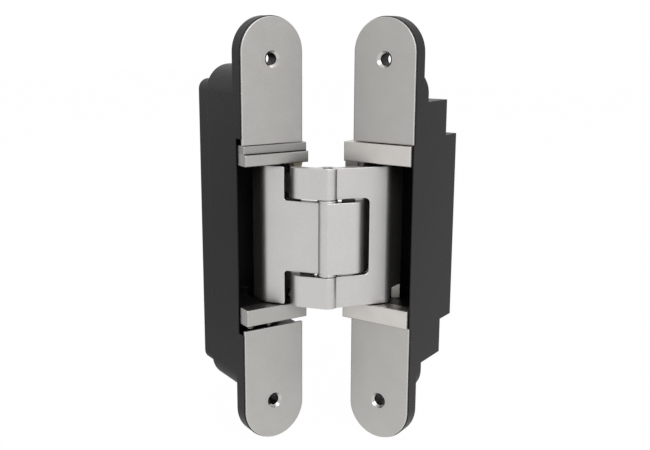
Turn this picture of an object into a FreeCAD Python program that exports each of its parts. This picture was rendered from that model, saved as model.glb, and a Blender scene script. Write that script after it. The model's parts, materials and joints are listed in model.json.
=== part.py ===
"""Concealed door hinge: two stepped housings, two crossed arms and the carriers that hold them.

Millimetres. The frame half stands square to the axes: X runs across its face towards its outer side,
-Y points out of the face and Z runs up the fold axis, with the origin in the plane of the flange seat.
Both halves are drawn in a half frame of their own (X to the inner side, Y into the pocket, Z up) and
both arms in a fold frame at the centre pin.
"""
import FreeCAD
import Part

import math
import os

V = FreeCAD.Vector
UP = V(0, 0, 1)
BACK = V(0, 1, 0)

# Fold of the linkage
REST_OPENING = 113.4
PLAN_OPENING = 113.4
FULL_OPENING = 180.0
PATH_STEPS = 12
FACE_GAP = 7.0
ARM_SHARE = 0.5625
PIVOT_INSET = 3.91
PIVOT_DEPTH = 14.0
SHUT_INSET = 5.0
GUIDE_U = 0.7
GUIDE_DEPTH = 16.0

# Faces and cover plates
HINGE_HEIGHT = 200.0
HINGE_WIDTH = 32.0
REVEAL = 0.4
PLATE_THICK = 1.2
PLATE_PLAY = 0.3
FOOT_GAP = 0.6
FRAME_RISE = 0.5
FRAME_SHORT = 1.1
ROOF_STEP = 0.4
HOLE_Z = 81.0
HOLE_D = 5.3
SINK_D = 8.8

# Steps of the two housings
FLANGE_DEPTH = 8.2
BODY_END_Z = 78.0
BODY_ROUND = 12.0
FRAME_BODY_DEPTH = 12.8
FRAME_BOX_DEPTH = 31.8
FRAME_BOX_Z = 62.2
FRAME_FLOOR = 4.4
FRAME_END_WALL = 1.4
FRAME_WALL_DEPTH = 0.0
FRAME_END_PLAY = 0.8
DOOR_BODY_DEPTH = 33.8
DOOR_FLOOR = 5.0
DOOR_CORE_Z = 70.8
DOOR_CORE_INSET = 0.5
DOOR_CORE_ROUND = 5.0
DOOR_WALL_DEPTH = 5.7
DOOR_END_PLAY = 2.8
SIDE_WALL = 1.5
LIP_WALL = 0.5
LIP_RUN = 3.6

# Arms
ARM_HALF = 32.7
TONGUE_TOP = 17.0
TONGUE_BOTTOM = -16.4
ARM_GAP = 1.5
ARM_THICK = 4.6
BARREL_R = 4.7
OWN_STEP = 1.3
OWN_SLOPE = 20.0
FAR_SLOPE = 17.0
NOTCH_X = 20.0
WINDOW_X = 19.4
TONGUE_BEND_X = 29.0
TONGUE_ROUND = 5.9
FORK_BEND_X = 27.4
FORK_ROUND = 3.2
FAR_BEND_X = 15.7
FAR_ROUND = 4.6
KNEE_X = 14.0
KNEE_Y = 12.0
KNEE_ROUND = 3.0
EYE_R = 4.0
EYE_TRIM = 4.7
EYE_FRONT = 4.5
FOOT_Z = 26.0
FOOT_X = 29.8
NOTCH_ROUND = 1.3
WINDOW_ROUND = 2.3
ARM_CORNER = 1.2

# Pins, washers and rollers
PIN_R = 2.5
PIN_PLAY = 0.05
PIN_SINK = 0.5
GUIDE_PIN_R = 1.2
COLLAR_HALF = 2.0
ROLLER_R = 2.0
ROLLER_PLAY = 0.3
SLEEVE_R = 3.6
FACE_PLAY = 0.4

# Carriers and what they hold
BLOCK_PROUD = 2.0
HEAD_DEPTH = 5.4
LIP_PLAY = 0.3
SIDE_PLAY = 0.5
SEAT_PLAY = 0.3
OVERHANG = 2.4
FRAME_OVERHANG = 3.7
UPPER_OVERHANG = 1.9
LOWER_OVERHANG = 1.0
WEB_THICK = 4.0
WEB_PLAY = 0.5
NOSE_WALL = 3.0
GATE_PLAY = 0.5
UPPER_PLAY = 1.1
LOWER_PLAY = 0.5
DOOR_UPPER = 5.1
SPACER_THICK = 4.0
SPACER_BACK = 1.8
DOOR_LOWER = 7.8
BLOCK_EDGE = 0.35
LIP_WIDTH = 4.1
LIP_REACH = 2.6
LIP_FRONT = 3.7
LIP_DROP = 5.0
PAD_HALF = 2.6
PAD_TAPER = 0.8
PAD_U = 16.2
PAD_DEPTH = 7.0
TRACK_ROOF = 1.0
STUD_R = 1.5
STUD_DROP = 3.2
STUD_DEPTH = 4.2
STUD_ACROSS = (-10.5, -1.0)

# Widths and heights that follow
HALF_WIDTH = HINGE_WIDTH / 2.0
POCKET_HALF = HALF_WIDTH - SIDE_WALL
BLOCK_OUTER = POCKET_HALF - SIDE_PLAY
BLOCK_INNER = HALF_WIDTH + OVERHANG
FRAME_INNER = HALF_WIDTH + FRAME_OVERHANG
UPPER_INNER = HALF_WIDTH + UPPER_OVERHANG
LOWER_INNER = HALF_WIDTH + LOWER_OVERHANG
LIP_HALF = HALF_WIDTH - LIP_WALL
HEAD_OUTER = LIP_HALF - LIP_PLAY
POCKET_TOP = ARM_HALF + UPPER_PLAY
POCKET_BOTTOM = -ARM_HALF - LOWER_PLAY
DOOR_BLOCK_TOP = POCKET_TOP + DOOR_UPPER
DOOR_BLOCK_BOTTOM = POCKET_BOTTOM - DOOR_LOWER
SPACER_TOP = DOOR_BLOCK_TOP + SPACER_THICK
PLATE_END_Z = SPACER_TOP + PLATE_PLAY
FRAME_END_TOP = PLATE_END_Z + FRAME_RISE
FRAME_END_BOTTOM = FRAME_SHORT - PLATE_END_Z
FRAME_TOP = FRAME_END_TOP - REVEAL
FRAME_BOTTOM = FRAME_END_BOTTOM + REVEAL
DOOR_POCKET_Z = PLATE_END_Z + DOOR_END_PLAY
FRAME_POCKET_Z = PLATE_END_Z + FRAME_END_PLAY
FRAME_CORE_Z = FRAME_POCKET_Z + FRAME_END_WALL
TRACK_DEPTH = DOOR_UPPER - TRACK_ROOF
PIVOT_U = BLOCK_INNER - PIVOT_INSET
SHUT_U = SHUT_INSET - HALF_WIDTH
NOSE_DEPTH = PIVOT_DEPTH + NOSE_WALL
NOSE_END = NOSE_DEPTH + BLOCK_INNER - BLOCK_OUTER
EYE_TOP = ARM_HALF - EYE_TRIM
SPAN = HINGE_HEIGHT


def centre_at(opening):
    """Centre pin in half frame terms (across, into the pocket) at an opening in degrees."""
    rise = FACE_GAP / 2.0 + PIVOT_DEPTH
    run = SHUT_U - PIVOT_U
    angle = math.atan2(rise, run) - math.radians(ARM_SHARE * opening)
    reach = math.hypot(rise, run)
    return V(PIVOT_U + reach * math.cos(angle), PIVOT_DEPTH - reach * math.sin(angle), 0)


def turned(point, degrees):
    """Point turned about Z."""
    return FreeCAD.Rotation(UP, degrees).multVec(point)


def tilt_at(opening):
    """Turn of each half from the fold frame at an opening in degrees."""
    return 90.0 - opening / 2.0


def guide_at(opening):
    """Guide pin of the arm that ends in this half, in half frame terms, at an opening in degrees."""
    arm = V(GUIDE_U, GUIDE_DEPTH, 0) - centre_at(PLAN_OPENING)
    return centre_at(opening) + turned(arm, (1.0 - ARM_SHARE) * (opening - PLAN_OPENING))


CENTRE = centre_at(REST_OPENING)
TILT = tilt_at(REST_OPENING)
WEB_FRONT = guide_at(0).y + ARM_THICK / 2.0 + WEB_PLAY
BLOCK_BACK = WEB_FRONT + WEB_THICK
POCKET_DEPTH = BLOCK_BACK + SEAT_PLAY
FRAME_CORE_DEPTH = POCKET_DEPTH + FRAME_FLOOR
DOOR_CORE_DEPTH = POCKET_DEPTH + DOOR_FLOOR


def fold_point(across, depth):
    """Half frame point of the door half in the arms' plan, whose origin is the centre pin."""
    return turned(V(across, depth, 0) - centre_at(PLAN_OPENING), tilt_at(PLAN_OPENING))


def mirrored(shape):
    """Mirror image across the plane x = 0."""
    return shape.mirror(V(0, 0, 0), V(1, 0, 0))


def place_frame(shape):
    """Half frame to the row for the frame half, a mirror image with its flange seat at y = 0."""
    moved = mirrored(shape)
    moved.translate(V(0, -FLANGE_DEPTH, 0))
    return moved


def posed(shape):
    """Arm's plan turned to the rest opening about the centre pin."""
    moved = shape.copy()
    moved.rotate(V(0, 0, 0), UP, (0.5 - ARM_SHARE) * (REST_OPENING - PLAN_OPENING))
    return moved


def place_arm(shape):
    """Fold frame to the row."""
    moved = shape.copy()
    moved.rotate(V(0, 0, 0), UP, TILT)
    moved.translate(V(-CENTRE.x, CENTRE.y - FLANGE_DEPTH, 0))
    return moved


def place_door(shape):
    """Half frame to the row for the door half."""
    moved = shape.copy()
    moved.translate(V(-CENTRE.x, -CENTRE.y, 0))
    moved.rotate(V(0, 0, 0), UP, TILT)
    return place_arm(moved)


def box(x0, x1, y0, y1, z0, z1):
    """Box between three pairs of limits."""
    return Part.makeBox(x1 - x0, y1 - y0, z1 - z0, V(x0, y0, z0))


def square(x, y, z, half):
    """Level square outline about a point."""
    signs = ((-1, -1), (1, -1), (1, 1), (-1, 1), (-1, -1))
    return Part.makePolygon([V(x + a * half, y + b * half, z) for a, b in signs])


def rod(radius, x, y, z0, z1):
    """Upright round bar between two heights."""
    return Part.makeCylinder(radius, z1 - z0, V(x, y, z0), UP)


def ring(outer, inner, x, y, z0, z1):
    """Upright ring between two heights."""
    return rod(outer, x, y, z0, z1).cut(rod(inner, x, y, z0 - SPAN, z1 + SPAN))


def bend(before, corner, after, radius):
    """Start, middle and end of the round that replaces a corner."""
    one = (before - corner).normalize()
    two = (after - corner).normalize()
    half = one.getAngle(two) / 2.0
    cut = radius / math.tan(half)
    inward = (one + two).normalize()
    centre = corner + inward * (radius / math.sin(half))
    return corner + one * cut, centre - inward * radius, corner + two * cut


def rounded_face(corners):
    """Face of a polygon whose corners are (point, radius) pairs; a radius of 0 keeps the corner sharp."""
    ends = []
    edges = []
    count = len(corners)
    for index, (corner, radius) in enumerate(corners):
        if radius:
            start, middle, end = bend(corners[index - 1][0], corner, corners[(index + 1) % count][0], radius)
            edges.append(Part.Arc(start, middle, end).toShape())
            ends.append((start, end))
        else:
            ends.append((corner, corner))
    for index in range(count):
        start = ends[index][1]
        end = ends[(index + 1) % count][0]
        if start.distanceToPoint(end) > 1e-6:
            edges.append(Part.makeLine(start, end))
    return Part.Face(Part.Wire(Part.__sortEdges__(edges)))


def strip(points, radii, thick):
    """Face of a bent strip with round ends, drawn about its middle line."""
    half = thick / 2.0
    normals = []
    for start, end in zip(points[:-1], points[1:]):
        along = (end - start).normalize()
        normals.append(V(-along.y, along.x, 0))
    edges = []
    for side in (half, -half):
        last = points[0] + normals[0] * side
        for index, radius in enumerate(radii):
            start, middle, end = bend(points[index], points[index + 1], points[index + 2], radius)
            inward = (normals[index] + normals[index + 1]).normalize()
            first = start + normals[index] * side
            edges.append(Part.makeLine(last, first))
            last = end + normals[index + 1] * side
            edges.append(Part.Arc(first, middle + inward * side, last).toShape())
        edges.append(Part.makeLine(last, points[-1] + normals[-1] * side))
    for point, other, normal in ((points[0], points[1], normals[0]), (points[-1], points[-2], normals[-1])):
        tip = point + (point - other).normalize() * half
        edges.append(Part.Arc(point + normal * half, tip, point - normal * half).toShape())
    return Part.Face(Part.Wire(Part.__sortEdges__(edges)))


def upright(face, z0, z1):
    """Plan face drawn at height 0, raised between two heights."""
    moved = face.copy()
    moved.translate(V(0, 0, z0))
    return moved.extrude(V(0, 0, z1 - z0))


def front_face(corners):
    """Rounded face in the XZ plane from (x, z, radius) corners."""
    return rounded_face([(V(x, 0, z), radius) for x, z, radius in corners])


def slab(corners, y0, y1):
    """Front outline carried from one depth to another."""
    face = front_face(corners)
    face.translate(V(0, y0, 0))
    return face.extrude(V(0, y1 - y0, 0))


def stadium(half_width, end_z, y0, y1):
    """Full-round upright slab."""
    middle = end_z - half_width
    body = box(-half_width, half_width, y0, y1, -middle, middle)
    for z in (-middle, middle):
        body = body.fuse(Part.makeCylinder(half_width, y1 - y0, V(0, y0, z), BACK))
    return body.removeSplitter()


def cushion(half_width, end_z, radius, y0, y1):
    """Upright slab with four rounded corners."""
    corners = [(-half_width, -end_z), (half_width, -end_z), (half_width, end_z), (-half_width, end_z)]
    return slab([(x, z, radius) for x, z in corners], y0, y1)


def fixing_holes(depth):
    """Both screw holes with their sinks, as one cutting tool."""
    tools = []
    for z in (-HOLE_Z, HOLE_Z):
        tools.append(Part.makeCylinder(HOLE_D / 2.0, 2.0 * depth, V(0, -depth, z), BACK))
        sink = (SINK_D - HOLE_D) / 2.0
        tools.append(Part.makeCone(SINK_D / 2.0, HOLE_D / 2.0, sink, V(0, 0, z), BACK))
    return tools


def cover(sign, end_z):
    """Cover plate from this height to the upper (1) or lower (-1) end of a face."""
    plate = stadium(HALF_WIDTH - REVEAL, HINGE_HEIGHT / 2.0 - REVEAL, 0, PLATE_THICK)
    low, high = sorted((sign * end_z, sign * SPAN))
    plate = plate.common(box(-SPAN, SPAN, -SPAN, SPAN, low, high))
    for tool in fixing_holes(PLATE_THICK):
        plate = plate.cut(tool)
    return plate


def pocket(end_z, wall_depth):
    """Cutting tools for the carrier pocket, its arm gate and the wall at its outer side."""
    room = box(-POCKET_HALF, POCKET_HALF, -SPAN, POCKET_DEPTH, -end_z, end_z)
    gate = box(0, SPAN, -SPAN, NOSE_END + GATE_PLAY, -end_z, end_z)
    lip = box(-LIP_HALF, 0, -SPAN, HEAD_DEPTH + LIP_RUN, -end_z, end_z)
    outer = box(-SPAN, 0, -SPAN, wall_depth, -end_z, end_z)
    return [room, gate, lip, outer]


def door_housing():
    """Rounded, routed-in housing of the door half."""
    core = HALF_WIDTH - DOOR_CORE_INSET
    body = stadium(HALF_WIDTH, HINGE_HEIGHT / 2.0, PLATE_THICK, FLANGE_DEPTH)
    body = body.fuse(cushion(HALF_WIDTH, BODY_END_Z, BODY_ROUND, FLANGE_DEPTH, DOOR_BODY_DEPTH))
    body = body.fuse(cushion(core, DOOR_CORE_Z, DOOR_CORE_ROUND, DOOR_BODY_DEPTH, DOOR_CORE_DEPTH))
    for tool in pocket(DOOR_POCKET_Z, DOOR_WALL_DEPTH) + fixing_holes(DOOR_CORE_DEPTH):
        body = body.cut(tool)
    return body.removeSplitter()


def frame_housing():
    """Square-stepped housing of the frame half, its outer wall level with the cover plates."""
    half = HALF_WIDTH
    body = stadium(half, HINGE_HEIGHT / 2.0, PLATE_THICK, FLANGE_DEPTH)
    body = body.fuse(cushion(half, BODY_END_Z, BODY_ROUND, FLANGE_DEPTH, FRAME_BODY_DEPTH))
    body = body.fuse(box(-half, half, FRAME_BODY_DEPTH, FRAME_BOX_DEPTH, -FRAME_BOX_Z, FRAME_BOX_Z))
    body = body.fuse(box(-half, half, FRAME_BOX_DEPTH, FRAME_CORE_DEPTH, -FRAME_CORE_Z, FRAME_CORE_Z))
    body = body.fuse(box(-half, REVEAL - half, 0, FLANGE_DEPTH, FRAME_END_BOTTOM, FRAME_END_TOP))
    for tool in pocket(FRAME_POCKET_Z, FRAME_WALL_DEPTH) + fixing_holes(FRAME_CORE_DEPTH):
        body = body.cut(tool)
    return body.removeSplitter()


def block(z0, z1):
    """Carrier block between two heights, behind its head, with a nose round the fixed pivot."""
    points = [
        V(-BLOCK_OUTER, HEAD_DEPTH, 0),
        V(BLOCK_INNER, HEAD_DEPTH, 0),
        V(BLOCK_INNER, NOSE_DEPTH, 0),
        V(BLOCK_OUTER, NOSE_END, 0),
        V(BLOCK_OUTER, BLOCK_BACK, 0),
        V(-BLOCK_OUTER, BLOCK_BACK, 0),
    ]
    return upright(Part.Face(Part.makePolygon(points + points[:1])), z0, z1)


def head(z0, z1, inner, proud):
    """Bright head on the front of a carrier block, with its front edges eased."""
    body = box(-HEAD_OUTER, inner, -proud, HEAD_DEPTH, z0, z1)
    front = [edge for edge in body.Edges if edge.BoundBox.YMax < 1e-6 - proud]
    return body.makeChamfer(BLOCK_EDGE, front)


def guide_slot(z0, z1):
    """Cutting tool for the track that the far arm's guide roller follows in this half."""
    track = [guide_at(FULL_OPENING * step / PATH_STEPS) for step in range(PATH_STEPS + 1)]
    width = ROLLER_R + ROLLER_PLAY
    tool = rod(width, track[0].x, track[0].y, z0, z1)
    for start, end in zip(track[:-1], track[1:]):
        tool = tool.fuse(upright(strip([start, end], [], 2.0 * width), z0, z1))
    return tool.removeSplitter()


def frame_head(sign):
    """Upper (1) or lower (-1) head of the frame half, with a lip at the back of its inner end."""
    low, high = (POCKET_TOP + ROOF_STEP, FRAME_TOP) if sign > 0 else (FRAME_BOTTOM, POCKET_BOTTOM)
    root = low if sign > 0 else high
    ends = sorted((root, root - sign * LIP_DROP))
    lip = box(FRAME_INNER - LIP_WIDTH, FRAME_INNER + LIP_REACH, LIP_FRONT, HEAD_DEPTH, *ends)
    return head(low, high, FRAME_INNER, BLOCK_PROUD).fuse(lip).removeSplitter()


def door_pads():
    """Tapered bearing pads under the upper and over the lower block, clear of the fork arm's legs."""
    tip = EYE_TOP + FACE_PLAY
    pads = []
    for root, sign in ((POCKET_TOP, 1), (POCKET_BOTTOM, -1)):
        ends = ((root, PAD_HALF), (sign * tip, PAD_HALF - PAD_TAPER))
        pads.append(Part.makeLoft([square(PAD_U, PAD_DEPTH, z, half) for z, half in ends], True, True))
    return Part.makeCompound(pads)


def carrier(top, bottom):
    """Upper and lower blocks joined by a web behind the arms, bored for the pivot pin and tracked."""
    body = block(POCKET_TOP, top)
    body = body.fuse(block(bottom, POCKET_BOTTOM))
    body = body.fuse(box(-BLOCK_OUTER, BLOCK_OUTER, WEB_FRONT, BLOCK_BACK, bottom, top))
    body = body.cut(guide_slot(0, POCKET_TOP + TRACK_DEPTH))
    body = body.cut(guide_slot(POCKET_BOTTOM - TRACK_DEPTH, 0))
    body = body.cut(rod(PIN_R, PIVOT_U, PIVOT_DEPTH, -SPAN, SPAN))
    return body.removeSplitter()


def own_plan(bend_x, radius):
    """Middle line of the door-side arm from the barrel to its guide pin, bent once."""
    shift = BARREL_R - OWN_STEP - ARM_THICK / 2.0
    y = -shift / math.cos(math.radians(OWN_SLOPE))
    corner = V(-bend_x, y + bend_x * math.tan(math.radians(OWN_SLOPE)), 0)
    return [V(0, y, 0), corner, guide_point()], [radius]


def far_plan():
    """Middle line of the other arm's reach into the door half, bent twice, to the fixed pivot."""
    shift = BARREL_R - ARM_THICK / 2.0
    y = -shift / math.cos(math.radians(FAR_SLOPE))
    corner = V(-FAR_BEND_X, y + FAR_BEND_X * math.tan(math.radians(FAR_SLOPE)), 0)
    knee = V(-KNEE_X, KNEE_Y, 0)
    return [V(0, y, 0), corner, knee, fold_point(PIVOT_U, PIVOT_DEPTH)], [FAR_ROUND, KNEE_ROUND]


def arm_body(own, outline, holes):
    """Door-side arm with its own reach and its far reach; the outline trims it from the front."""
    own_points, own_radii = own
    far_points, far_radii = far_plan()
    pivot = V(-far_points[-1].x, far_points[-1].y, 0)
    guide = own_points[-1]
    body = upright(strip(own_points, own_radii, ARM_THICK), -SPAN, SPAN)
    body = body.fuse(mirrored(upright(strip(far_points, far_radii, ARM_THICK), -SPAN, SPAN)))
    body = body.fuse(rod(BARREL_R, 0, 0, -SPAN, SPAN))
    body = body.fuse(rod(EYE_R, pivot.x, pivot.y, -SPAN, SPAN))
    body = body.removeSplitter()
    body = body.common(slab(outline, -SPAN, SPAN))
    for tool in holes:
        body = body.cut(slab(tool, -SPAN, SPAN))
    body = body.cut(rod(PIN_R + PIN_PLAY, pivot.x, pivot.y, -SPAN, SPAN))
    return body.cut(rod(GUIDE_PIN_R, guide.x, guide.y, -SPAN, SPAN))


def tongue_arm():
    """Arm with one wide tongue, its panel on the door side."""
    outline = []
    for end, edge in ((-ARM_HALF, TONGUE_BOTTOM), (ARM_HALF, TONGUE_TOP)):
        side = [
            (-SPAN, end, 0),
            (-NOTCH_X, end, ARM_CORNER),
            (-NOTCH_X, edge, NOTCH_ROUND),
            (SPAN, edge, 0),
        ]
        outline += side if end < 0 else side[::-1]
    body = arm_body(own_plan(TONGUE_BEND_X, TONGUE_ROUND), outline, [])
    return body.cut(rod(PIN_R, 0, 0, -SPAN, SPAN))


def fork_arm():
    """Arm with two fingers round the tongue, a cut-away foot and lowered legs, drawn door-side too."""
    top = TONGUE_TOP + ARM_GAP
    bottom = TONGUE_BOTTOM - ARM_GAP
    outline = [
        (-SPAN, -FOOT_Z, 0),
        (-FOOT_X, -FOOT_Z, NOTCH_ROUND),
        (-FOOT_X, -ARM_HALF, ARM_CORNER),
        (SPAN, -ARM_HALF, 0),
        (SPAN, ARM_HALF, 0),
        (-SPAN, ARM_HALF, 0),
    ]
    window = [
        (-WINDOW_X, bottom, WINDOW_ROUND),
        (2.0 * SPAN, bottom, 0),
        (2.0 * SPAN, top, 0),
        (-WINDOW_X, top, WINDOW_ROUND),
    ]
    body = arm_body(own_plan(FORK_BEND_X, FORK_ROUND), outline, [window])
    for low in (EYE_TOP, -EYE_TOP - SPAN):
        body = body.cut(box(0, SPAN, EYE_FRONT, SPAN, low, low + SPAN))
    return body.cut(rod(PIN_R + PIN_PLAY, 0, 0, -SPAN, SPAN))


def guide_point():
    """Guide pin of the tongue arm in the fold frame."""
    return fold_point(GUIDE_U, GUIDE_DEPTH)


def roller_heights():
    """Height limits of the upper and the lower guide roller."""
    upper = (POCKET_TOP + FACE_PLAY, POCKET_TOP + TRACK_DEPTH - FACE_PLAY)
    lower = (POCKET_BOTTOM - TRACK_DEPTH + FACE_PLAY, POCKET_BOTTOM - FACE_PLAY)
    return upper, lower


def guide_pin():
    """Upright pin through the guide end of an arm, long enough for both rollers."""
    point = guide_point()
    upper, lower = roller_heights()
    return rod(GUIDE_PIN_R, point.x, point.y, lower[0], upper[1])


def collar_pin():
    """Guide pin with a square collar, which fills the cut-away foot of the fork arm."""
    point = guide_point()
    half = COLLAR_HALF
    low = POCKET_BOTTOM + FACE_PLAY
    collar = box(point.x - half, point.x + half, point.y - half, point.y + half, low, -FOOT_Z)
    return guide_pin().fuse(collar).removeSplitter()


def guide_rollers():
    """Rollers on both ends of a guide pin."""
    point = guide_point()
    pairs = roller_heights()
    return Part.makeCompound([ring(ROLLER_R, GUIDE_PIN_R, point.x, point.y, *pair) for pair in pairs])


def centre_washers():
    """Washers as wide as the barrel, which fill the gaps between the tongue and the two fingers."""
    thick = ARM_GAP - FACE_PLAY
    rings = [ring(BARREL_R, PIN_R, 0, 0, low, low + thick) for low in (TONGUE_TOP, TONGUE_BOTTOM - thick)]
    return Part.makeCompound(rings)


def pivot_pin(top, bottom):
    """Fixed pivot pin of a half, flush with its carrier."""
    return rod(PIN_R, PIVOT_U, PIVOT_DEPTH, bottom, top)


def pivot_rings(eye_top, eye_bottom):
    """Rings on a fixed pivot pin, from the carrier to the upper and the lower end of an arm's eye."""
    upper = ring(SLEEVE_R, PIN_R, PIVOT_U, PIVOT_DEPTH, eye_top + FACE_PLAY, POCKET_TOP)
    lower = ring(SLEEVE_R, PIN_R, PIVOT_U, PIVOT_DEPTH, POCKET_BOTTOM, eye_bottom - FACE_PLAY)
    return Part.makeCompound([upper, lower])


def spacer():
    """Thin layer on the door half's upper block, set back from its front."""
    return head(DOOR_BLOCK_TOP, SPACER_TOP, UPPER_INNER, BLOCK_PROUD - SPACER_BACK)


def studs():
    """Adjusting studs seen in the gap under the door half's lower block."""
    low = DOOR_BLOCK_BOTTOM - STUD_DROP
    return Part.makeCompound([rod(STUD_R, x, STUD_DEPTH, low, DOOR_BLOCK_BOTTOM) for x in STUD_ACROSS])


def build():
    """All sub-parts by node name, placed in the row."""
    return {
        "frame_housing": place_frame(frame_housing()),
        "frame_carrier": place_frame(carrier(FRAME_TOP, FRAME_BOTTOM)),
        "frame_head_upper": place_frame(frame_head(1)),
        "frame_head_lower": place_frame(frame_head(-1)),
        "frame_cover_upper": place_frame(cover(1, FRAME_END_TOP)),
        "frame_cover_lower": place_frame(cover(-1, -FRAME_END_BOTTOM)),
        "frame_pivot_pin": place_frame(pivot_pin(FRAME_TOP, FRAME_BOTTOM)),
        "frame_pivot_sleeves": place_frame(pivot_rings(TONGUE_TOP, TONGUE_BOTTOM)),
        "tongue_arm": place_arm(posed(tongue_arm())),
        "tongue_guide_pin": place_arm(posed(guide_pin())),
        "tongue_guide_rollers": place_arm(posed(guide_rollers())),
        "centre_pin": place_arm(rod(PIN_R, 0, 0, PIN_SINK - ARM_HALF, ARM_HALF - PIN_SINK)),
        "centre_washers": place_arm(centre_washers()),
        "fork_arm": place_arm(mirrored(posed(fork_arm()))),
        "fork_guide_pin": place_arm(mirrored(posed(collar_pin()))),
        "fork_guide_rollers": place_arm(mirrored(posed(guide_rollers()))),
        "door_carrier": place_door(carrier(DOOR_BLOCK_TOP, DOOR_BLOCK_BOTTOM)),
        "door_head_upper": place_door(head(POCKET_TOP, DOOR_BLOCK_TOP, UPPER_INNER, BLOCK_PROUD)),
        "door_head_lower": place_door(head(DOOR_BLOCK_BOTTOM, POCKET_BOTTOM, LOWER_INNER, BLOCK_PROUD)),
        "door_pads": place_door(door_pads()),
        "door_spacer": place_door(spacer()),
        "door_pivot_pin": place_door(pivot_pin(DOOR_BLOCK_TOP, DOOR_BLOCK_BOTTOM)),
        "door_pivot_washers": place_door(pivot_rings(EYE_TOP, -EYE_TOP)),
        "door_spindle": place_door(studs()),
        "door_housing": place_door(door_housing()),
        "door_cover_upper": place_door(cover(1, PLATE_END_Z)),
        "door_cover_lower": place_door(cover(-1, PLATE_END_Z + FOOT_GAP)),
    }


os.makedirs("parts", exist_ok=True)
for name, shape in build().items():
    shape.exportStep("parts/" + name + ".step")
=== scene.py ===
"""Concealed door hinge: the finish of every piece, the fine pieces, the studio and the photograph's camera.

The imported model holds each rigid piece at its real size, and every node keeps its shape here, apart from
the two that finer pieces replace. This script gives the nodes their finishes, makes the pieces that are too
fine for the solids, and sets the studio. Lengths are metres, unless a name ends in _mm.
"""
from __future__ import annotations

import json
import logging
import math
from dataclasses import dataclass, field, replace
from enum import Enum
from typing import Any

import bpy
import numpy as np
from mathutils import Matrix, Vector

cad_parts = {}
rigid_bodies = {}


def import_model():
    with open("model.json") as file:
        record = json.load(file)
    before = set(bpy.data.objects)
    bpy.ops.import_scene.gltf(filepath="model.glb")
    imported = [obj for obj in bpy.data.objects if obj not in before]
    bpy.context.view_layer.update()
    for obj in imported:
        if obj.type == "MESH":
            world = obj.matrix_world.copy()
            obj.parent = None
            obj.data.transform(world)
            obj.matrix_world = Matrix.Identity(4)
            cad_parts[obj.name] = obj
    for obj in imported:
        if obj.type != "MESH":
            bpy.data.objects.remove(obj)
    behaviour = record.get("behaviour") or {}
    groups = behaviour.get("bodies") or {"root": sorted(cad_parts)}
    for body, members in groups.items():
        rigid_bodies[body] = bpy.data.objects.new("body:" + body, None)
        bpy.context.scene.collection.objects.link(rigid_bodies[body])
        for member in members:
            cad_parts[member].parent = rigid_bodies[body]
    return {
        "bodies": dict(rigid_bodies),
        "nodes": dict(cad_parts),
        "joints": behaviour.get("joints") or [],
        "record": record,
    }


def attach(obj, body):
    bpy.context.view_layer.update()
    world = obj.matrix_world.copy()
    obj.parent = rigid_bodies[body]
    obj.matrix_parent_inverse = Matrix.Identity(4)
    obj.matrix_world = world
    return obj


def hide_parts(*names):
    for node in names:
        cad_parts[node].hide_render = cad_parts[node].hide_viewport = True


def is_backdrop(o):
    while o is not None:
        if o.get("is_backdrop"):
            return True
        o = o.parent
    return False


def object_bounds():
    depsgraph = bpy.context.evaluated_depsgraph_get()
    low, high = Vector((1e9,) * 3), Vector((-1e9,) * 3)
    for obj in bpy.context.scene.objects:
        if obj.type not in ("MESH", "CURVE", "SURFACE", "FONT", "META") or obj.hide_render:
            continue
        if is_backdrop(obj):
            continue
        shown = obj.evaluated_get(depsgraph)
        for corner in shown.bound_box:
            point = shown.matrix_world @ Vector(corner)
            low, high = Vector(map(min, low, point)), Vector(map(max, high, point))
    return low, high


LOG = logging.getLogger("hinge")
MM = 0.001

# Angle above which an edge of a new piece is shaded sharp.
SHARP_ANGLE = math.radians(34.0)

# Span that nearly all noise lies in, and detail and roughness of the two noises.
NOISE_SPAN = (0.3, 0.7)
SPECK_DETAIL = 2.0
SPECK_ROUGHNESS = 0.6
CLOUD_DETAIL = 1.0

# Openness of a surface deep in a gap and on an open face, over which the painted shade in gaps fades out.
SHADE_OPEN_SPAN = (0.3, 0.9)

# Match of the eased normal and the plain one, on a flat and on a square edge, over which the painted edge
# highlight rises.
EDGE_HIGHLIGHT_SPAN = (1.0, 0.8)

# How far the fine noise moves the roughness, how strong its bump is, and the rays for edges and gaps.
ROUGHNESS_SPREAD = 0.04
BUMP_STRENGTH = 0.6
RAY_SAMPLES = 8


def linear(code: str) -> tuple[float, float, float, float]:
    """Turns an sRGB hex colour into the linear colour that a shader takes.

    Args:
        code: Colour as "#rrggbb".

    Returns:
        Linear red, green and blue, and an alpha of 1.
    """
    srgb = np.array([int(code[i:i + 2], 16) for i in (1, 3, 5)]) / 255.0
    rgb = np.where(srgb <= 0.04045, srgb / 12.92, ((srgb + 0.055) / 1.055) ** 2.4)
    return float(rgb[0]), float(rgb[1]), float(rgb[2]), 1.0


def grain(size_mm: float) -> float:
    """Gives the noise scale whose spots are about size_mm across."""
    return 1.0 / (size_mm * MM)


def full_turn(steps: int) -> np.ndarray:
    """Gives the angles of a full turn in even steps, the last one short of the first."""
    return np.linspace(0.0, 2.0 * math.pi, steps, endpoint=False)


def add_node(
    tree: bpy.types.NodeTree,
    kind: str,
    settings: dict[Any, Any] | None = None,
    links: dict[Any, bpy.types.NodeSocket] | None = None,
) -> bpy.types.Node:
    """Adds one shader node with its settings and links.

    Args:
        tree: Node tree of a material or a world.
        kind: Node type, such as "ShaderNodeBump".
        settings: Values by property name, or by input name or number.
        links: Output sockets by input name or number.

    Returns:
        The new node.
    """
    node = tree.nodes.new(kind)
    for key, value in (settings or {}).items():
        if isinstance(key, str) and hasattr(node, key):
            setattr(node, key, value)
        else:
            node.inputs[key].default_value = value
    for key, source in (links or {}).items():
        tree.links.new(source, node.inputs[key])
    return node


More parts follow.
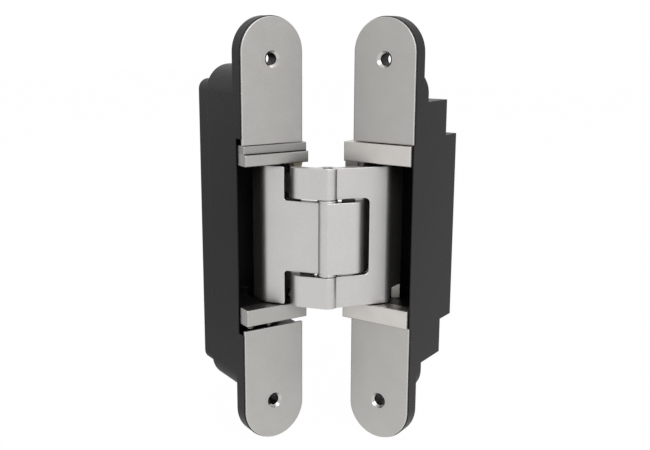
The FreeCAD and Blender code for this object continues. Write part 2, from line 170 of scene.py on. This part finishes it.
def remap(
    tree: bpy.types.NodeTree,
    value: bpy.types.NodeSocket,
    span: tuple[float, float],
    low: float,
    high: float,
) -> bpy.types.NodeSocket:
    """Maps a span of values to a range, and holds what lies outside at the range's ends.

    Args:
        tree: Node tree of a material or a world.
        value: Output socket of the value.
        span: First and last value of the span.
        low: Result at the first value.
        high: Result at the last value.

    Returns:
        Output socket of the result.
    """
    settings = {"From Min": span[0], "From Max": span[1], "To Min": low, "To Max": high}
    return add_node(tree, "ShaderNodeMapRange", settings, {0: value}).outputs[0]


def add_piece(
    name: str, shells: list[np.ndarray], capped: bool, material: bpy.types.Material
) -> bpy.types.Object:
    """Makes one smooth piece from grids of points, each a shell that runs round on its first axis.

    A grid's second axis runs from the lower or inner end to the upper or outer one, so that faces point out.

    Args:
        name: Name of the piece.
        shells: Arrays of points in metres, each of shape (round, along, 3).
        capped: Whether the first and last ring of each shell are closed by a flat face.
        material: Material of the piece.

    Returns:
        The new object, at the origin.
    """
    faces: list[list[int]] = []
    first = 0
    for shell in shells:
        index = first + np.arange(shell.shape[0] * shell.shape[1]).reshape(shell.shape[:2])
        ahead = np.roll(index, -1, axis=0)
        quads = np.stack([index[:, :-1], ahead[:, :-1], ahead[:, 1:], index[:, 1:]], axis=-1)
        faces += quads.reshape(-1, 4).tolist()
        if capped:
            faces += [index[::-1, 0].tolist(), index[:, -1].tolist()]
        first += index.size
    mesh = bpy.data.meshes.new(name)
    mesh.from_pydata(np.concatenate([shell.reshape(-1, 3) for shell in shells]).tolist(), [], faces)
    mesh.polygons.foreach_set("use_smooth", np.ones(len(mesh.polygons), dtype=bool))
    mesh.set_sharp_from_angle(angle=SHARP_ANGLE)
    mesh.update()
    mesh.materials.append(material)
    piece = bpy.data.objects.new(name, mesh)
    bpy.context.scene.collection.objects.link(piece)
    LOG.info("made %s, %d faces", name, len(mesh.polygons))
    return piece


class Slot(Enum):
    """Material slots of the record; each fitting holds one, but this script gives no piece a slot."""

    COVER = "satin_cover"
    CARRIER = "carrier_metal"
    PIN = "pin_steel"
    BLACK_PIN = "black_steel"


@dataclass(frozen=True)
class Finish:
    """Surface of one kind of metal, as a procedural material.

    The base colour is clouded by a slow noise and speckled by a fine one, paler along its edges as a painted
    highlight and darker in gaps and corners as painted shade, and the fine noise also drives the bump and the
    roughness.
    """

    name: str
    colour: str
    # Paler colour of the painted highlight along the edges.
    edge_highlight_colour: str
    metallic: float
    roughness: float
    speck_mm: float
    speck_depth: float
    cloud_mm: float
    cloud_depth: float
    bump_mm: float
    edge_mm: float
    edge_highlight_share: float
    # Reach of the painted shade in gaps and corners, and how dark it is deep in a gap.
    shade_reach_mm: float = 4.0
    painted_shade_level: float = 1.0
    specular: float = 0.5

    def material(self) -> bpy.types.Material:
        """Makes the material.

        Returns:
            The new material.
        """
        material = bpy.data.materials.new(self.name)
        material.use_nodes = True
        tree = material.node_tree
        tree.nodes.clear()
        place = add_node(tree, "ShaderNodeTexCoord").outputs["Object"]
        speck = add_node(
            tree,
            "ShaderNodeTexNoise",
            {"Scale": grain(self.speck_mm), "Detail": SPECK_DETAIL, "Roughness": SPECK_ROUGHNESS},
            {"Vector": place},
        ).outputs[0]
        cloud = add_node(
            tree,
            "ShaderNodeTexNoise",
            {"Scale": grain(self.cloud_mm), "Detail": CLOUD_DETAIL},
            {"Vector": place},
        ).outputs[0]
        shade = self.spread(tree, speck, self.speck_depth)
        # Painted shade: the colour darkens in gaps and corners, where the surface is closed in.
        for factor in (self.spread(tree, cloud, self.cloud_depth), self.gaps(tree)):
            shade = add_node(
                tree, "ShaderNodeMath", {"operation": "MULTIPLY"}, {0: shade, 1: factor}
            ).outputs[0]
        eased = add_node(
            tree, "ShaderNodeBevel", {"samples": RAY_SAMPLES, "Radius": self.edge_mm * MM}
        ).outputs[0]
        # Painted highlight: the colour turns paler along the edges.
        base = add_node(
            tree,
            "ShaderNodeMix",
            {"data_type": "RGBA", 6: linear(self.colour), 7: linear(self.edge_highlight_colour)},
            {0: self.edges(tree, eased)},
        ).outputs[2]
        shaded = add_node(
            tree, "ShaderNodeVectorMath", {"operation": "SCALE"}, {0: base, "Scale": shade}
        ).outputs[0]
        rough = remap(
            tree, speck, NOISE_SPAN, self.roughness - ROUGHNESS_SPREAD, self.roughness + ROUGHNESS_SPREAD
        )
        bump = add_node(
            tree,
            "ShaderNodeBump",
            {"Strength": BUMP_STRENGTH, "Distance": self.bump_mm * MM},
            {"Height": speck, "Normal": eased},
        ).outputs[0]
        shader = add_node(
            tree,
            "ShaderNodeBsdfPrincipled",
            {"Metallic": self.metallic, "Specular IOR Level": self.specular},
            {"Base Color": shaded, "Roughness": rough, "Normal": bump},
        )
        add_node(tree, "ShaderNodeOutputMaterial", links={"Surface": shader.outputs[0]})
        return material

    @staticmethod
    def spread(tree: bpy.types.NodeTree, noise: bpy.types.NodeSocket, depth: float) -> bpy.types.NodeSocket:
        """Turns a noise into a brightness factor about 1.

        Args:
            tree: Node tree of the material.
            noise: Noise, nearly all of it within NOISE_SPAN.
            depth: Share of brightness that the noise takes away or adds.

        Returns:
            Output socket of the factor.
        """
        return remap(tree, noise, NOISE_SPAN, 1.0 - depth, 1.0 + depth)

    def gaps(self, tree: bpy.types.NodeTree) -> bpy.types.NodeSocket:
        """Darkens gaps and corners with painted shade, by how open the surface is within the shade's reach.

        Args:
            tree: Node tree of the material.

        Returns:
            Output socket of the painted shade: 1 on open faces and the shade's level deep in a gap.
        """
        openness = add_node(
            tree, "ShaderNodeAmbientOcclusion", {"samples": RAY_SAMPLES, "Distance": self.shade_reach_mm * MM}
        ).outputs["AO"]
        return remap(tree, openness, SHADE_OPEN_SPAN, self.painted_shade_level, 1.0)

    def edges(self, tree: bpy.types.NodeTree, eased: bpy.types.NodeSocket) -> bpy.types.NodeSocket:
        """Finds the edges for the painted highlight, where the surface normal departs from the normal of an
        eased edge.

        Args:
            tree: Node tree of the material.
            eased: Normal of the surface with its edges eased.

        Returns:
            Output socket of the painted edge highlight: 0 on the flats and its full share on a square edge.
        """
        plain = add_node(tree, "ShaderNodeNewGeometry").outputs["Normal"]
        match = add_node(
            tree, "ShaderNodeVectorMath", {"operation": "DOT_PRODUCT"}, {0: eased, 1: plain}
        ).outputs["Value"]
        return remap(tree, match, EDGE_HIGHLIGHT_SPAN, 0.0, self.edge_highlight_share)


# Satin nickel on the cover plates: mid grey, fine sparkle, with a bright painted highlight along the edges.
SATIN_COVER = Finish(
    name="satin_nickel_cover",
    colour="#b9b7b4",
    edge_highlight_colour="#e2e1df",
    metallic=1.0,
    roughness=0.46,
    speck_mm=0.55,
    speck_depth=0.06,
    cloud_mm=9.0,
    cloud_depth=0.02,
    bump_mm=0.01,
    edge_mm=0.7,
    edge_highlight_share=0.8,
)

# Satin nickel on the cast arms: paler than the plates, silky, with softly lit bends, and painted shade that
# darkens them nearly to black in the narrow gaps.
SATIN_ARM = Finish(
    name="satin_nickel_arm",
    colour="#cbc9c7",
    edge_highlight_colour="#ecebe9",
    metallic=1.0,
    roughness=0.41,
    speck_mm=0.55,
    speck_depth=0.06,
    cloud_mm=11.0,
    cloud_depth=0.015,
    bump_mm=0.008,
    edge_mm=0.5,
    edge_highlight_share=0.6,
    shade_reach_mm=4.0,
    painted_shade_level=0.05,
)

# Milled and plated heads of the frame half: the brightest silver, with painted shade towards the fold.
FRAME_HEAD = Finish(
    name="milled_nickel_frame_head",
    colour="#cfccc8",
    edge_highlight_colour="#efeeec",
    metallic=1.0,
    roughness=0.36,
    speck_mm=0.6,
    speck_depth=0.05,
    cloud_mm=8.0,
    cloud_depth=0.03,
    bump_mm=0.006,
    edge_mm=0.35,
    edge_highlight_share=0.7,
    shade_reach_mm=14.0,
    painted_shade_level=0.75,
)

# Milled heads of the door half: the same metal with a greyer colour as painted shade, and painted shade
# reaching further out from the arms that they face.
DOOR_HEAD_SHADED = replace(
    FRAME_HEAD,
    name="milled_nickel_door_head_shaded",
    colour="#b3b1ae",
    edge_highlight_colour="#e6e5e3",
    shade_reach_mm=26.0,
    painted_shade_level=0.25,
)

# Spacer on the door half's upper head: the same metal, in the shade of the plate above it.
DOOR_SPACER = replace(DOOR_HEAD_SHADED, name="milled_nickel_spacer", colour="#a5a3a0")

# Forged steel of the fork's collar, and of the painted-shade sheet beside the lip: smooth mid grey with soft
# edges.
FORGED_STEEL = Finish(
    name="forged_steel_collar",
    colour="#aeaba7",
    edge_highlight_colour="#c8c5c1",
    metallic=1.0,
    roughness=0.45,
    speck_mm=0.8,
    speck_depth=0.03,
    cloud_mm=5.0,
    cloud_depth=0.04,
    bump_mm=0.002,
    edge_mm=0.3,
    edge_highlight_share=0.5,
)

# Black powder coat on housings, carriers, sleeves and washers: deep black with a low sheen, so that tops
# seen at a slant go pale.
CAST_BLACK = Finish(
    name="black_powder_coat",
    colour="#100f0f",
    edge_highlight_colour="#2a2928",
    metallic=0.0,
    roughness=0.42,
    speck_mm=1.0,
    speck_depth=0.3,
    cloud_mm=14.0,
    cloud_depth=0.06,
    bump_mm=0.16,
    edge_mm=0.45,
    edge_highlight_share=0.6,
    specular=0.215,
)

# Ground steel of the pins, rollers, studs and turned sinks: bright and smooth.
GROUND_STEEL = Finish(
    name="ground_steel_pin",
    colour="#c4c2be",
    edge_highlight_colour="#efeeec",
    metallic=1.0,
    roughness=0.26,
    speck_mm=0.5,
    speck_depth=0.04,
    cloud_mm=5.0,
    cloud_depth=0.03,
    bump_mm=0.004,
    edge_mm=0.25,
    edge_highlight_share=0.6,
)

# Blackened steel of the pivot pins, and of the dark strips that are painted shade in the tongue's gaps: dark,
# with a low oily shine.
BLACK_STEEL = Finish(
    name="blackened_steel_pin",
    colour="#2b2a29",
    edge_highlight_colour="#4a4947",
    metallic=1.0,
    roughness=0.4,
    speck_mm=0.5,
    speck_depth=0.06,
    cloud_mm=5.0,
    cloud_depth=0.04,
    bump_mm=0.004,
    edge_mm=0.2,
    edge_highlight_share=0.5,
)

# Oiled bearing metal of the pads: a pale olive bronze with a dull shine.
OILED_BRONZE = Finish(
    name="oiled_bearing_bronze",
    colour="#cfcab2",
    edge_highlight_colour="#e0dcc8",
    metallic=0.4,
    roughness=0.5,
    speck_mm=0.5,
    speck_depth=0.08,
    cloud_mm=4.0,
    cloud_depth=0.05,
    bump_mm=0.006,
    edge_mm=0.2,
    edge_highlight_share=0.5,
)


@dataclass
class Workshop:
    """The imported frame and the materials, made once each."""

    frame: dict[str, Any]
    made: dict[str, bpy.types.Material] = field(default_factory=dict)

    def material(self, finish: Finish) -> bpy.types.Material:
        """Gives the material of a finish, and makes it at its first use."""
        if finish.name not in self.made:
            self.made[finish.name] = finish.material()
        return self.made[finish.name]

    def dress(self, node: str, finish: Finish) -> None:
        """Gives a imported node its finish.

        Args:
            node: Name of the node.
            finish: Finish that it takes.
        """
        mesh = self.frame["nodes"][node].data
        mesh.materials.clear()
        mesh.materials.append(self.material(finish))
        LOG.info("dressed %s as %s", node, finish.name)


@dataclass(frozen=True)
class HalfPlace:
    """Place of a half in the frame: a point across its face, into it and up is turned about Z and moved.

    The frame half is a mirror image, so its points across run the other way.
    """

    middle_mm: tuple[float, float]
    turn: float
    across: float

    def points(self, across: np.ndarray, depth: np.ndarray, height: np.ndarray) -> np.ndarray:
        """Turns places in the half, in mm, into points of the frame, in metres.

        Args:
            across: Distances across the face, towards the inner side.
            depth: Distances into the half from its face.
            height: Heights.

        Returns:
            Points, with the three coordinates on the last axis.
        """
        angle = math.radians(self.turn)
        along = self.across * across
        x = self.middle_mm[0] + along * math.cos(angle) - depth * math.sin(angle)
        y = self.middle_mm[1] + along * math.sin(angle) + depth * math.cos(angle)
        return np.stack(np.broadcast_arrays(x, y, height), axis=-1) * MM


FRAME_PLACE = HalfPlace(middle_mm=(0.0, -8.2), turn=0.0, across=-1.0)
DOOR_PLACE = HalfPlace(middle_mm=(-41.682, -35.580), turn=66.6, across=1.0)


@dataclass
class TurnedSinks:
    """Screw sinks of a half: an eyelet flush with each cover plate, and its bright turned cone."""

    place: HalfPlace
    body: str
    hole_z_mm: float = 81.0
    rim_mm: float = 5.0
    outer_mm: float = 3.8
    inner_mm: float = 2.68
    depth_mm: float = 1.15
    proud_mm: float = 0.03
    steps: int = 72
    stations: int = 5

    def rings(self, radius: np.ndarray, depth: np.ndarray) -> list[np.ndarray]:
        """Carries a profile round both hole axes.

        Args:
            radius: Radii along the profile, in mm.
            depth: Depths along the profile, in mm.

        Returns:
            One grid of points for each hole.
        """
        turn = self.place.across * full_turn(self.steps)[:, None]
        across = radius * np.cos(turn)
        return [
            self.place.points(across, depth[None, :], sign * self.hole_z_mm + radius * np.sin(turn))
            for sign in (-1.0, 1.0)
        ]

    def build(self, shop: Workshop) -> None:
        """Makes the flat eyelets from rim to cone, and the cones, whose radius falls evenly with depth."""
        flat = self.rings(np.array([self.outer_mm, self.rim_mm]), np.full(2, -self.proud_mm))
        share = np.linspace(1.0, 0.0, self.stations)
        cone = self.rings(
            self.outer_mm + share * (self.inner_mm - self.outer_mm), share * self.depth_mm - self.proud_mm
        )
        for name, shells, finish in (("eyelets", flat, SATIN_COVER), ("turned_sinks", cone, GROUND_STEEL)):
            piece = add_piece(f"{self.body}_{name}", shells, False, shop.material(finish))
            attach(piece, self.body)


@dataclass
class ThreadedStuds:
    """Two adjusting studs in the gap under the door half's lower block, with a coarse rolled thread."""

    across_mm: tuple[float, ...] = (-10.5, -1.0)
    depth_mm: float = 4.2
    top_mm: float = -41.0
    bottom_mm: float = -44.2
    crest_mm: float = 1.48
    thread_mm: float = 0.42
    pitch_mm: float = 1.15
    lead_in_mm: float = 0.5
    steps: int = 72
    stations: int = 49

    def build(self, shop: Workshop) -> None:
        """Makes the studs: the radius falls from the crest by a triangle wave that climbs one pitch a turn.

        The lead-in cone at the lower end cuts the thread off.
        """
        angle = full_turn(self.steps)[:, None]
        height = np.linspace(self.bottom_mm, self.top_mm, self.stations)[None, :]
        phase = height / self.pitch_mm - angle / (2.0 * math.pi)
        wave = 2.0 * np.abs(phase - np.floor(phase) - 0.5)
        radius = self.crest_mm - self.thread_mm * wave
        radius = np.minimum(radius, self.crest_mm - self.lead_in_mm + height - self.bottom_mm)
        depth = self.depth_mm + radius * np.sin(angle)
        shells = [
            DOOR_PLACE.points(across + radius * np.cos(angle), depth, height) for across in self.across_mm
        ]
        piece = add_piece("door_threaded_studs", shells, True, shop.material(GROUND_STEEL))
        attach(piece, "door_block")
        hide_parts("door_spindle")


@dataclass
class CentrePin:
    """Pin through the crossing, with a six-sided socket in each end."""

    middle_mm: tuple[float, float] = (-18.931, -24.798)
    half_mm: float = 32.2
    radius_mm: float = 2.5
    edge_mm: float = 0.25
    socket_mm: float = 1.45
    socket_depth_mm: float = 1.7
    floor_share: float = 0.3
    body: str = "tongue_link"
    steps: int = 96

    def build(self, shop: Workshop) -> None:
        """Makes the pin from rings: each has a height, a radius, and a share by which it is six-sided.

        A six-sided ring's radius at an angle is the flat's distance over the cosine from the nearest flat.
        """
        end = self.half_mm
        floor = end - self.socket_depth_mm
        rings = np.array([
            (floor, self.floor_share * self.socket_mm, 1.0),
            (floor, self.socket_mm, 1.0),
            (end - self.edge_mm, self.socket_mm, 1.0),
            (end, self.socket_mm + self.edge_mm, 1.0),
            (end, self.radius_mm - self.edge_mm, 0.0),
            (end - self.edge_mm, self.radius_mm, 0.0),
        ])
        lower = rings * np.array([-1.0, 1.0, 1.0])
        rings = np.concatenate([lower, rings[::-1]])
        angle = full_turn(self.steps)[:, None]
        sector = math.pi / 3.0
        from_flat = np.mod(angle, sector) - sector / 2.0
        height, radius, six = rings.T[:, None, :]
        radius = radius * (1.0 + six * (1.0 / np.cos(from_flat) - 1.0))
        x = self.middle_mm[0] + radius * np.cos(angle)
        y = self.middle_mm[1] + radius * np.sin(angle)
        points = np.stack(np.broadcast_arrays(x, y, height), axis=-1) * MM
        piece = add_piece("centre_socket_pin", [points], True, shop.material(GROUND_STEEL))
        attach(piece, self.body)
        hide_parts("centre_pin")


@dataclass(frozen=True)
class Oblong:
    """A small upright block: middle and half sizes in plan, turn about Z, and heights of its two faces."""

    middle_mm: tuple[float, float]
    half_mm: tuple[float, float]
    turn: float
    heights_mm: tuple[float, float]
    corner_power: float = 0.25
    steps: int = 48

    def shell(self) -> np.ndarray:
        """Gives the block's points: an oval whose sine and cosine are raised to a low power, carried up.

        Returns:
            Points in metres, of shape (round, along, 3).
        """
        angle = full_turn(self.steps)
        wave = np.stack([np.cos(angle), np.sin(angle)], axis=1)
        along, aside = (np.sign(wave) * np.abs(wave) ** self.corner_power * np.array(self.half_mm)).T
        turn = math.radians(self.turn)
        x = self.middle_mm[0] + along * math.cos(turn) - aside * math.sin(turn)
        y = self.middle_mm[1] + along * math.sin(turn) + aside * math.cos(turn)
        height = np.array(self.heights_mm)
        return np.stack(np.broadcast_arrays(x[:, None], y[:, None], height[None, :]), axis=-1) * MM


@dataclass
class Fittings:
    """Small blocks that make one piece on one body."""

    name: str
    body: str
    slot: Slot
    finish: Finish
    parts: tuple[Oblong, ...]

    def build(self, shop: Workshop) -> None:
        """Makes the parts as one piece."""
        shells = [part.shell() for part in self.parts]
        piece = add_piece(self.name, shells, True, shop.material(self.finish))
        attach(piece, self.body)


# Dark strips on the tongue's upper and lower edge, in the gaps to the fork's fingers, as painted shade in
# those gaps.
TONGUE_SHADE_STRIPS = Fittings(
    name="tongue_gap_shade_strips",
    body="tongue_link",
    slot=Slot.BLACK_PIN,
    finish=BLACK_STEEL,
    parts=(
        Oblong((-36.0, -29.75), (4.8, 1.2), 14.2, (17.0, 18.15)),
        Oblong((-11.15, -19.2), (3.1, 1.2), 50.3, (17.0, 18.15)),
        Oblong((-28.0, -27.75), (3.6, 1.2), 14.2, (-17.55, -16.4)),
    ),
)

# Thin sheet beside the lip of the frame half's upper head, in front of the pivot sleeve, as painted shade
# that closes a see-through gap.
LIP_GAP_SHADE = Fittings(
    name="frame_lip_gap_shade",
    body="frame_half",
    slot=Slot.CARRIER,
    finish=FORGED_STEEL,
    parts=(Oblong((-14.3, -3.05), (1.4, 0.25), 0.0, (29.4, 34.6)),),
)


@dataclass
class HingeHalf:
    """One half of the hinge: its housing, its carrier, its cover plates and what the carrier holds."""

    side: str
    rings: str
    head: Finish

    def finishes(self) -> dict[str, Finish]:
        """Lists the nodes of this half and the finish of each."""
        return {
            f"{self.side}_housing": CAST_BLACK,
            f"{self.side}_carrier": CAST_BLACK,
            f"{self.side}_head_upper": self.head,
            f"{self.side}_head_lower": self.head,
            f"{self.side}_cover_upper": SATIN_COVER,
            f"{self.side}_cover_lower": SATIN_COVER,
            f"{self.side}_pivot_pin": BLACK_STEEL,
            f"{self.side}_pivot_{self.rings}": CAST_BLACK,
        }

    def build(self, shop: Workshop) -> None:
        """Dresses every node of this half."""
        for node, finish in self.finishes().items():
            shop.dress(node, finish)


@dataclass
class DoorHalf(HingeHalf):
    """Door half, with a spacer on its upper block, pads for the fork and studs under its lower block."""

    side: str = "door"
    rings: str = "washers"
    head: Finish = DOOR_HEAD_SHADED

    def finishes(self) -> dict[str, Finish]:
        """Lists the nodes of the door half and the finish of each."""
        extra = {"door_spacer": DOOR_SPACER, "door_spindle": GROUND_STEEL, "door_pads": OILED_BRONZE}
        return super().finishes() | extra


@dataclass
class FrameHalf(HingeHalf):
    """Frame half, the one that the mount holds."""

    side: str = "frame"
    rings: str = "sleeves"
    head: Finish = FRAME_HEAD


@dataclass
class CrossedArms:
    """Both arms with the pins, washers and rollers that ride on them."""

    def build(self, shop: Workshop) -> None:
        """Dresses every node of the arms."""
        for arm, pin in (("tongue", GROUND_STEEL), ("fork", FORGED_STEEL)):
            shop.dress(f"{arm}_arm", SATIN_ARM)
            shop.dress(f"{arm}_guide_pin", pin)
            shop.dress(f"{arm}_guide_rollers", GROUND_STEEL)
        shop.dress("centre_pin", GROUND_STEEL)
        shop.dress("centre_washers", SATIN_ARM)


@dataclass(frozen=True)
class SoftBox:
    """Square area lamp that looks at a point of the hinge."""

    name: str
    place: tuple[float, float, float]
    aim: tuple[float, float, float]
    size: float
    watts: float

    def build(self) -> None:
        """Makes the lamp."""
        lamp = bpy.data.lights.new(self.name, "AREA")
        lamp.size = self.size
        lamp.energy = self.watts
        holder = bpy.data.objects.new(self.name, lamp)
        look = Vector(self.aim) - Vector(self.place)
        turn = look.to_track_quat("-Z", "Y").to_matrix().to_4x4()
        holder.matrix_world = Matrix.Translation(self.place) @ turn
        bpy.context.scene.collection.objects.link(holder)


@dataclass
class Studio:
    """Pale floor, white surroundings and soft lamps."""

    floor_half: float = 3.0
    floor_drop: float = 0.0005
    floor_colour: str = "#f4f4f3"
    floor_glow: float = 0.985
    world_level: float = 0.62
    bright: tuple[float, float, float] = (0.75, -0.66, 0.0)
    dim_facing: float = -1.0
    full_facing: float = -0.1
    floor_level: float = 1.0
    floor_dim: float = 0.25
    wall_level: float = 0.78
    wall_dim: float = 1.0
    lamps: tuple[SoftBox, ...] = (
        SoftBox("key_right", (0.95, -0.75, 0.85), (-0.02, -0.01, 0.0), 0.9, 11.0),
        SoftBox("fill_left", (-1.0, -0.9, 0.55), (-0.02, -0.01, 0.0), 1.0, 0.6),
        SoftBox("top", (-0.05, 0.1, 1.2), (-0.02, -0.01, 0.0), 1.2, 1.5),
    )

    def build(self, floor_z: float) -> None:
        """Makes the floor, the world and the lamps.

        Args:
            floor_z: Height of the hinge's lowest point.
        """
        self.floor(floor_z - self.floor_drop)
        self.world()
        for lamp in self.lamps:
            lamp.build()
            LOG.info("lamp %s", lamp.name)

    def seen(self, tree: bpy.types.NodeTree) -> bpy.types.NodeSocket:
        """Finds the rays that show the white background: the camera's, and those off gloss.

        Args:
            tree: Node tree of the floor's material or of the world.

        Returns:
            Output socket that is 1 for those rays.
        """
        path = add_node(tree, "ShaderNodeLightPath").outputs
        return add_node(
            tree,
            "ShaderNodeMath",
            {"operation": "MAXIMUM"},
            {0: path["Is Camera Ray"], 1: path["Is Glossy Ray"]},
        ).outputs[0]

    def glow(
        self, tree: bpy.types.NodeTree, place: bpy.types.NodeSocket, level: float, dim: float
    ) -> bpy.types.NodeSocket:
        """Gives the strength of the surroundings: white to the camera, and in gloss by how it faces bright.

        Args:
            tree: Node tree of the floor's material or of the world.
            place: Direction, or point of the floor, as seen from the hinge.
            level: Strength in gloss on the bright side.
            dim: Strength in gloss on the side away from it.

        Returns:
            Output socket of the strength.
        """
        flat = add_node(
            tree, "ShaderNodeVectorMath", {"operation": "MULTIPLY", 1: (1.0, 1.0, 0.0)}, {0: place}
        ).outputs[0]
        aim = add_node(tree, "ShaderNodeVectorMath", {"operation": "NORMALIZE"}, {0: flat}).outputs[0]
        facing = add_node(
            tree, "ShaderNodeVectorMath", {"operation": "DOT_PRODUCT", 1: self.bright}, {0: aim}
        ).outputs["Value"]
        shown = remap(tree, facing, (self.dim_facing, self.full_facing), dim, level)
        gloss = add_node(tree, "ShaderNodeLightPath").outputs["Is Glossy Ray"]
        return add_node(
            tree, "ShaderNodeMix", {"data_type": "FLOAT", 2: 1.0}, {0: gloss, 3: shown}
        ).outputs[0]

    def floor(self, height: float) -> None:
        """Makes the floor as one square, which glows white to the camera and in gloss.

        Args:
            height: Height of the floor.
        """
        half = self.floor_half
        corners = [(-half, -half, height), (half, -half, height), (half, half, height), (-half, half, height)]
        mesh = bpy.data.meshes.new("floor")
        mesh.from_pydata(corners, [], [(0, 1, 2, 3)])
        mesh.update()
        material = bpy.data.materials.new("pale_floor")
        material.use_nodes = True
        tree = material.node_tree
        tree.nodes.clear()
        matte = add_node(tree, "ShaderNodeBsdfDiffuse", {"Color": linear(self.floor_colour)}).outputs[0]
        place = add_node(tree, "ShaderNodeTexCoord").outputs["Object"]
        strength = self.glow(tree, place, self.floor_level, self.floor_dim)
        glow = add_node(tree, "ShaderNodeEmission", links={"Strength": strength}).outputs[0]
        share = add_node(
            tree, "ShaderNodeMath", {"operation": "MULTIPLY", 1: self.floor_glow}, {0: self.seen(tree)}
        ).outputs[0]
        mixed = add_node(tree, "ShaderNodeMixShader", links={0: share, 1: matte, 2: glow}).outputs[0]
        add_node(tree, "ShaderNodeOutputMaterial", links={"Surface": mixed})
        mesh.materials.append(material)
        floor = bpy.data.objects.new("floor", mesh)
        bpy.context.scene.collection.objects.link(floor)
        floor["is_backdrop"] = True

    def world(self) -> None:
        """Makes the white surroundings, dimmer where they only light matte surfaces."""
        world = bpy.data.worlds.new("white_studio")
        world.use_nodes = True
        tree = world.node_tree
        tree.nodes.clear()
        place = add_node(tree, "ShaderNodeTexCoord").outputs["Generated"]
        level = add_node(
            tree,
            "ShaderNodeMix",
            {"data_type": "FLOAT", 2: self.world_level},
            {0: self.seen(tree), 3: self.glow(tree, place, self.wall_level, self.wall_dim)},
        ).outputs[0]
        light = add_node(
            tree, "ShaderNodeBackground", {"Color": (1.0, 1.0, 1.0, 1.0)}, {"Strength": level}
        )
        add_node(tree, "ShaderNodeOutputWorld", links={"Surface": light.outputs[0]})
        bpy.context.scene.world = world


@dataclass
class PhotoCamera:
    """Camera at the photograph's viewing angle, found by fitting both faces of the hinge to it."""

    place_mm: tuple[float, float, float] = (202.8, -364.4, 94.9)
    heading: float = 33.3
    dip: float = 12.32
    roll: float = 0.30
    focal_px: float = 905.7
    width_px: float = 650.0
    sensor_mm: float = 36.0
    near: float = 0.01
    far: float = 20.0

    def build(self) -> None:
        """Makes the camera and gives it to the scene."""
        data = bpy.data.cameras.new("photo_camera")
        data.sensor_fit = "HORIZONTAL"
        data.sensor_width = self.sensor_mm
        data.lens = self.sensor_mm * self.focal_px / self.width_px
        data.clip_start = self.near
        data.clip_end = self.far
        holder = bpy.data.objects.new("photo_camera", data)
        turn = Matrix.Rotation(math.radians(self.heading), 4, "Z")
        tip = Matrix.Rotation(math.radians(90.0 - self.dip), 4, "X")
        lean = Matrix.Rotation(math.radians(self.roll), 4, "Z")
        holder.matrix_world = Matrix.Translation(Vector(self.place_mm) * MM) @ turn @ tip @ lean
        bpy.context.scene.collection.objects.link(holder)
        bpy.context.scene.camera = holder


def main() -> None:
    """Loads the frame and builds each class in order."""
    logging.basicConfig(level=logging.INFO, format="%(message)s")
    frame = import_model()
    solid_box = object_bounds()
    bpy.context.scene.view_settings.view_transform = "Standard"
    shop = Workshop(frame)
    sinks = (TurnedSinks(FRAME_PLACE, "frame_half"), TurnedSinks(DOOR_PLACE, "door_half"))
    fittings = (TONGUE_SHADE_STRIPS, LIP_GAP_SHADE)
    for assembly in (FrameHalf(), DoorHalf(), CrossedArms(), *sinks, ThreadedStuds(), CentrePin(), *fittings):
        assembly.build(shop)
    Studio().build(solid_box[0][2])
    PhotoCamera().build()


if __name__ == "__main__":
    main()
